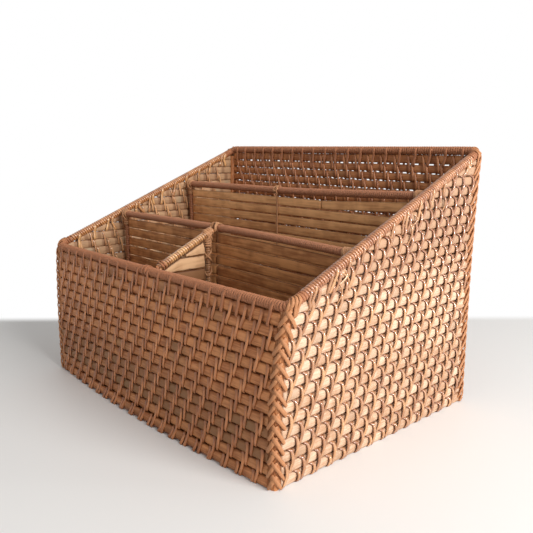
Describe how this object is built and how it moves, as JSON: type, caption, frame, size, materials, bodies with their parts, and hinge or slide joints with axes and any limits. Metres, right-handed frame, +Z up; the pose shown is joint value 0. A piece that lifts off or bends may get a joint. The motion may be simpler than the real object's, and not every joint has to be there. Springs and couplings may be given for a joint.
{
  "type": "desk organizer",
  "caption": "Slope-sided wicker desk organizer: woven slat walls with wrapped rims, bound corners, and slatted dividers that make a rear, a middle and split front compartments.",
  "frame": {"origin": "on the floor under the middle of the overall box", "axes": "+X to the right along the front, +Y to the back, +Z up"},
  "size_m": [0.3186, 0.2252, 0.2075],
  "materials": {
    "wall_slats": "split rattan, satin",
    "base_slats": "split rattan, satin",
    "rear_divider_slats": "flat bamboo, matte",
    "front_divider_slats": "flat bamboo, matte",
    "rim_cane": "glossy cane peel",
    "binding_cane": "glossy cane peel",
    "rail_cane": "satin cane peel",
    "lashing_cane": "satin cane peel",
    "rods": "round rattan, satin"
  },
  "bodies": {
    "root": {"back_wall": "wall_slats", "base_panel": "base_slats", "base_rod_back": "rods", "base_rod_front": "rods", "base_rod_left": "rods", "base_rod_right": "rods", "centre_lashing": "lashing_cane", "centre_stick": "rods", "corner_binding_back_left": "binding_cane", "corner_binding_back_right": "binding_cane", "corner_binding_front_left": "binding_cane", "corner_binding_front_right": "binding_cane", "corner_post_back_left": "rods", "corner_post_back_right": "rods", "corner_post_front_left": "rods", "corner_post_front_right": "rods", "front_lashing_left": "lashing_cane", "front_lashing_right": "lashing_cane", "front_rail_core": "rods", "front_rail_wrap": "rail_cane", "front_slats_left": "front_divider_slats", "front_slats_right": "front_divider_slats", "front_stick_left": "rods", "front_stick_right": "rods", "front_wall": "wall_slats", "junction_lashing": "lashing_cane", "left_wall": "wall_slats", "rear_knot": "lashing_cane", "rear_lashing_left": "lashing_cane", "rear_lashing_right": "lashing_cane", "rear_rail_core": "rods", "rear_rail_wrap": "rail_cane", "rear_slats": "rear_divider_slats", "rear_stick_left": "rods", "rear_stick_right": "rods", "right_wall": "wall_slats", "rim_core_back": "rods", "rim_core_front": "rods", "rim_core_left": "rods", "rim_core_right": "rods", "rim_elbow_back_left": "rim_cane", "rim_elbow_back_right": "rim_cane", "rim_elbow_front_left": "rim_cane", "rim_elbow_front_right": "rim_cane", "rim_lashing": "lashing_cane", "rim_wrap_back": "rim_cane", "rim_wrap_front": "rim_cane", "rim_wrap_left": "rim_cane", "rim_wrap_right": "rim_cane", "short_rail_core": "rods", "short_rail_wrap": "rail_cane", "short_slats": "front_divider_slats"}
  },
  "joints": []
}
